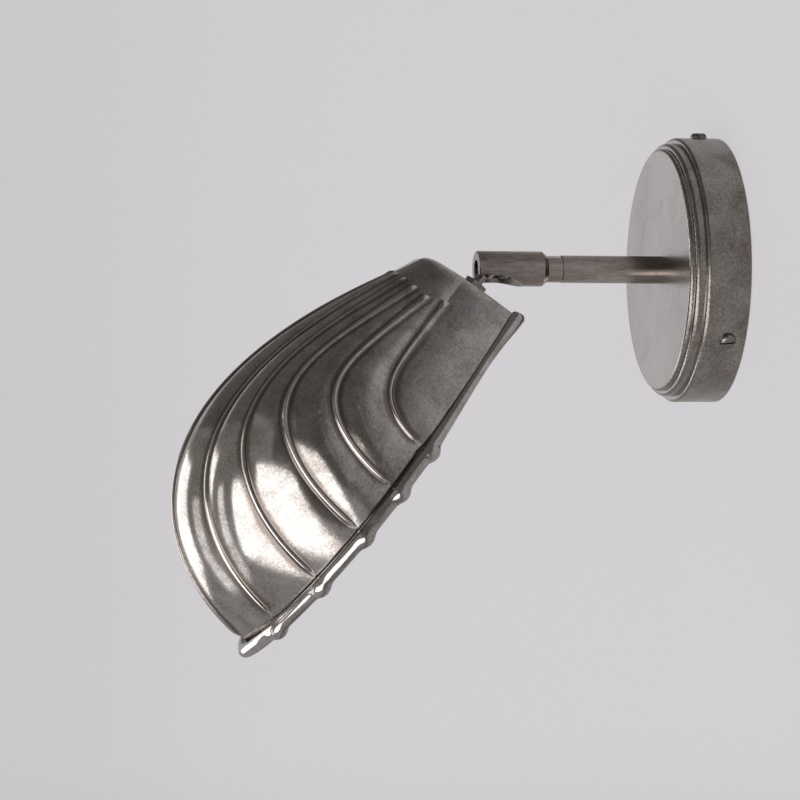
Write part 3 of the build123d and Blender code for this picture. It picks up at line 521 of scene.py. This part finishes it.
def shade_row(share, start, inset, ridged):
    """Points across the shade in one fan plane, from rim corner to rim corner, with masks for rub and
    painted highlight and for grime and painted shade. The share is 0 at the top plate, 1 in the rim plane."""
    hinge = start + (fan_hinge - start) * math.sin(math.pi / 2 * share)
    tilt = math.pi / 2 * share ** fan_ease
    depth = hinge - start
    radius = edge_round - start
    rounding = 0.0 if depth >= radius else radius - math.sqrt(radius ** 2 - (radius - depth) ** 2)
    corner = rim_half(hinge, inset + rounding * corner_share)
    knots = [Vector((corner, 0.0))]
    for rib in range(outer_rib, -outer_rib - 1, -1):
        knots.append(rib_point(rib, hinge, tilt, inset + rounding * edge_shares[abs(rib)]))
    knots.append(Vector((-corner, 0.0)))
    panels = len(knots) - 1
    sink = ridge_rise * min(1.0, ridge_sink[0] + share / ridge_sink[1]) if ridged else 0.0
    feet = list(knots)
    outwards = [None] * len(knots)
    ridges = [(0.0, 0.0, 0.0)] * len(knots)
    for index in range(1, panels):
        run = ((knots[index] - knots[index - 1]).normalized()
               + (knots[index + 1] - knots[index]).normalized()).normalized()
        outwards[index] = Vector((run.y, -run.x))
        feet[index] = knots[index] - outwards[index] * sink
        if ridged:
            along = hinge + knots[index].y * math.sin(tilt)
            height = knots[index].y * math.cos(tilt) - rim_drop
            ridges[index] = ridge_section(abs(outer_rib + 1 - index), along, height)
    middle_bow = np.interp(share, *zip(*panel_bow))
    spots = []
    masks = []
    for index in range(panels):
        first = feet[index]
        chord = feet[index + 1] - first
        length = chord.length
        normal = Vector((chord.y, -chord.x)) / length
        bow = side_bow if index in (0, panels - 1) else middle_bow
        near = [min(step, ridge_steps_most * length) for step in ridge_steps]
        between = length - 2 * near[-1]
        stops = [0.0] + near
        stops += [near[-1] + between * count / panel_steps for count in range(1, panel_steps)]
        stops += [length - step for step in reversed(near)]
        for stop in stops:
            part = stop / length
            spot = first + chord * part + normal * (4 * bow * length * part * (1 - part))
            rubbed_and_sheen, grime_and_shade = 0.0, 0.0
            # A ridge's crest is rubbed and takes a painted highlight, and grime and painted shade lie along
            # its foot.
            for knot, gap in ((index, stop), (index + 1, length - stop)):
                rise, half, polish_and_sheen = ridges[knot]
                if rise and gap < half:
                    lift = 0.5 + 0.5 * math.cos(math.pi * gap / half)
                    spot = spot + outwards[knot] * rise * lift
                    rubbed_and_sheen = max(rubbed_and_sheen, lift ** 2 * polish_and_sheen)
                if rise:
                    foot = math.exp(-((gap - half) / grime_and_shade_width) ** 2)
                    grime_and_shade = max(grime_and_shade, foot * rise / ridge_rise)
            spots.append(spot)
            masks.append((rubbed_and_sheen, grime_and_shade))
    spots.append(feet[panels])
    masks.append((0.0, 0.0))
    points = [(hinge + spot.y * math.sin(tilt), spot.x, spot.y * math.cos(tilt) - rim_drop) for spot in spots]
    return points, masks


def to_shade(along, across, height):
    """The place of a point this far down the shade, across it and off its rim plane."""
    return shade_start + down_shade * along + Vector((across, 0, 0)) + off_rim * height


pressed_metal = metal("pressed_metal", (0.43, 0.412, 0.396), (0.15, 0.126, 0.11), gloss=0.095,
                      cloud=(80.0, 0.45), speck=(900.0, 0.45), masks=True)


def pressed_piece(name, vertices, faces, rubbed_and_sheen, grime_and_shade):
    """A smooth piece of the shade's metal, with its two masks."""
    mesh = bpy.data.meshes.new(name)
    mesh.from_pydata(vertices, [], faces)
    mesh.validate()
    mesh.shade_smooth()
    for mask, values in (("rubbed_and_sheen", rubbed_and_sheen), ("grime_and_shade", grime_and_shade)):
        mesh.attributes.new(mask, "FLOAT", "POINT").data.foreach_set("value", values)
    mesh.materials.append(pressed_metal)
    piece = bpy.data.objects.new(name, mesh)
    scene.collection.objects.link(piece)
    return piece


# Rows across the shade: some over the rounded edge by their depth, close ones where the ridges
# begin, and wider ones from there to the rim plane.
edge_depths = (0.0, 0.00025, 0.0007, 0.0013, 0.0022, 0.0034, 0.0048, 0.0062)
close_rows_end, close_rows = 0.22, 48
open_rows = 120
row_shares = [math.asin(depth / fan_hinge) * 2 / math.pi for depth in edge_depths]
for end, count in ((close_rows_end, close_rows), (1.0, open_rows)):
    first = row_shares[-1]
    row_shares += [first + (end - first) * step / count for step in range(1, count + 1)]
outer_rows, outer_masks = zip(*[shade_row(share, 0.0, 0.0, ridged=True) for share in row_shares])
inner_rows = [shade_row(share, sheet, sheet + ridge_rise, ridged=False)[0] for share in row_shares]
vertices = [to_shade(*spot) for row in (*outer_rows, *inner_rows) for spot in row]
row_total = len(row_shares)
row_length = len(outer_rows[0])
inner_start = row_total * row_length


def wound(face, flip):
    """A face with its corners in the order that turns it outwards."""
    return face[::-1] if flip else face


# The outer and inner skins
faces = []
for layer, flip in ((0, False), (inner_start, True)):
    for row in range(row_total - 1):
        for column in range(row_length - 1):
            corner = layer + row * row_length + column
            faces.append(wound((corner, corner + 1, corner + row_length + 1, corner + row_length), flip))

# The sheet's edge, down one side, across the rim plane and up the other side
edge_loop = [row * row_length for row in range(row_total)]
edge_loop += [(row_total - 1) * row_length + column for column in range(1, row_length)]
edge_loop += [row * row_length + row_length - 1 for row in range(row_total - 2, -1, -1)]
for first, second in zip(edge_loop, edge_loop[1:]):
    faces.append((first, second, second + inner_start, first + inner_start))

# The top plate, in rings round a middle point
plate_rings = 6
plate_middle = 0.020                # of the middle point off the rim plane
for layer, flip, along in ((0, False, 0.0), (inner_start, True, sheet)):
    outline = range(layer, layer + row_length)
    ring = list(outline)
    centre = to_shade(along, 0, plate_middle)
    for count in range(1, plate_rings):
        shrink = 1 - count / plate_rings
        fresh = range(len(vertices), len(vertices) + row_length)
        vertices += [centre + (vertices[index] - centre) * shrink for index in outline]
        for column in range(row_length - 1):
            faces.append(wound((ring[column], fresh[column], fresh[column + 1], ring[column + 1]), flip))
        faces.append(wound((ring[-1], fresh[-1], fresh[0], ring[0]), flip))
        ring = fresh
    hub = len(vertices)
    vertices.append(centre)
    for column in range(row_length):
        faces.append(wound((ring[column], hub, ring[(column + 1) % row_length]), flip))
faces.append((0, row_length - 1, inner_start + row_length - 1, inner_start))

# The inner skin and the top plate take no rub and are made evenly darker.
plain = len(vertices) - inner_start
rubbed_and_sheen = [sheen_and_rub for masks in outer_masks for sheen_and_rub, shade_and_dirt in masks] + [0.0] * plain
grime_and_shade = [shade_and_dirt for masks in outer_masks for sheen_and_rub, shade_and_dirt in masks] + [inside_darkening] * plain
shade_shell = pressed_piece("shade_shell", vertices, faces, rubbed_and_sheen, grime_and_shade)
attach(shade_shell, "shade")
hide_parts("shade")

# ------------------------------------------------------------------ rolled rim
# The edge of the shade's sheet is rolled outwards into a round bead, all in one with the shade. The
# bead is thin beside the top plate, flares where it meets it, and swells into a knob at each rib's end.
roll_thin = 0.0017                  # the bead's radius near the top plate, and from the outer ribs on
roll_full = 0.0032
roll_flare, roll_flare_run, roll_flare_power = 0.00165, 0.017, 1.6
roll_knob, roll_knob_run = 0.0010, 0.0032   # what a knob adds, and how far it reaches
roll_sunk = 0.85                    # its middle lies below the rim plane, in its own radii
roll_outset, tip_outset = 0.5, 0.25
roll_steps = 400
roll_sides = 20
straight_share = 0.55               # share of each side's steps that lie before the widest place
knob_places = rib_landings[:0:-1]
spots = []
for count in range(roll_steps + 1):
    share = count / roll_steps
    side = 1 if share <= 0.5 else -1
    from_corner = 1 - abs(2 * share - 1)
    if from_corner < straight_share:
        along = wide_at * from_corner / straight_share
    else:
        to_tip = (from_corner - straight_share) / (1 - straight_share)
        along = wide_at + (tip_at - wide_at) * math.sin(math.pi / 2 * to_tip)
    half = rim_half(along)
    grown = min(1.0, along / knob_places[0])
    radius = roll_thin + (roll_full - roll_thin) * grown ** 2
    radius += roll_flare * math.exp(-(along / roll_flare_run) ** roll_flare_power)
    for landing in knob_places:
        gap = math.hypot(along - landing, half - rim_half(landing))
        radius += roll_knob * math.exp(-(gap / roll_knob_run) ** 2)
    outward = Vector((max(0.0, along - wide_at), half, 0))
    outward = outward.normalized() if outward.length > 0 else Vector((1, 0, 0))
    outset = (roll_outset + tip_outset * outward.x) * radius
    spot = to_shade(along + outward.x * outset, side * (half + outward.y * outset), -roll_sunk * radius)
    spots.append((spot, radius))

bead_mark_turn = 0.9                      # radians from the bead's top: rubbed with a painted highlight outside, grime and painted shade inside
most_rubbed_and_sheen, most_grime_and_shade = 0.3, 0.6
turns = [2 * math.pi * corner / roll_sides for corner in range(roll_sides)]
vertices = []
faces = []
for index, (spot, radius) in enumerate(spots):
    before = spots[max(0, index - 1)][0]
    after = spots[min(len(spots) - 1, index + 1)][0]
    forward = (after - before).normalized()
    upward = (off_rim - forward * off_rim.dot(forward)).normalized()
    outwards = upward.cross(forward)
    vertices += [spot + (upward * math.cos(turn) + outwards * math.sin(turn)) * radius for turn in turns]
for index in range(len(spots) - 1):
    for corner in range(roll_sides):
        first = index * roll_sides + corner
        second = index * roll_sides + (corner + 1) % roll_sides
        faces.append((first, first + roll_sides, second + roll_sides, second))
last_ring = (len(spots) - 1) * roll_sides
faces.append(tuple(range(roll_sides)))
faces.append(tuple(range(last_ring, last_ring + roll_sides))[::-1])
# The bead's outside is rubbed and painted with a highlight, and its side towards the shell's crease takes
# grime and painted shade.
rubbed_and_sheen = [most_rubbed_and_sheen * max(0.0, math.cos(turn - bead_mark_turn)) ** 2 for turn in turns] * len(spots)
grime_and_shade = [most_grime_and_shade * max(0.0, math.cos(turn + bead_mark_turn)) ** 2 for turn in turns] * len(spots)
shade_rim = pressed_piece("shade_rim", vertices, faces, rubbed_and_sheen, grime_and_shade)
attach(shade_rim, "shade")
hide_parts("shade")

# ------------------------------------------------------------------ lampholder
# A small screw lampholder hangs on the stem inside the shade: a moulded cap and skirt round a glazed
# base, with a brass screw shell and a sprung brass contact.
phenolic = moulded("phenolic", (0.045, 0.042, 0.04), (0.02, 0.019, 0.018), roughness=0.28, grain=500.0,
                   relief=0.08, coat=0.3)
glazed_base = moulded("glazed_base", (0.86, 0.84, 0.79), (0.78, 0.75, 0.68), roughness=0.14, grain=300.0,
                      relief=0.05, coat=0.5)
finish(phenolic, "holder_cap", "holder_skirt")
finish(glazed_base, "holder_base")
finish(brass, "screw_shell", "centre_contact")

# ------------------------------------------------------------------ lamp
# A short tubular lamp of glass frosted inside, on a drawn aluminium screw cap with a brass tip.
# It screws into the lampholder's brass shell.
lamp_aluminium = metal("lamp_aluminium", (0.80, 0.80, 0.81), (0.60, 0.60, 0.61), gloss=0.25,
                       cloud=(140.0, 0.5), speck=(900.0, 0.3))
lamp_glass, tree, shader = bare_material("lamp_glass")
shader.inputs["Transmission Weight"].default_value = 0.55
frost_place = tree_node(tree, "TexCoord").outputs["Object"]
frost = tree_node(tree, "TexNoise", {"Vector": frost_place, "Scale": 1200.0, "Detail": 3.0}).outputs["Fac"]
haze = tree_node(tree, "TexNoise", {"Vector": frost_place, "Scale": 60.0, "Detail": 3.0}).outputs["Fac"]
frost_colour = tree_node(tree, "Mix", {0: haze, 6: (0.93, 0.92, 0.88, 1), 7: (0.86, 0.85, 0.82, 1)},
                         data_type="RGBA").outputs[2]
frost_rough = graded(tree, haze, 0.0, 1.0, 0.3, 0.45)
lay_on(tree, shader, frost_colour, frost_rough, frost, relief=0.1, depth=0.0002)
finish(lamp_aluminium, "lamp_cap")
finish(brass, "lamp_tip")
finish(lamp_glass, "lamp_glass")
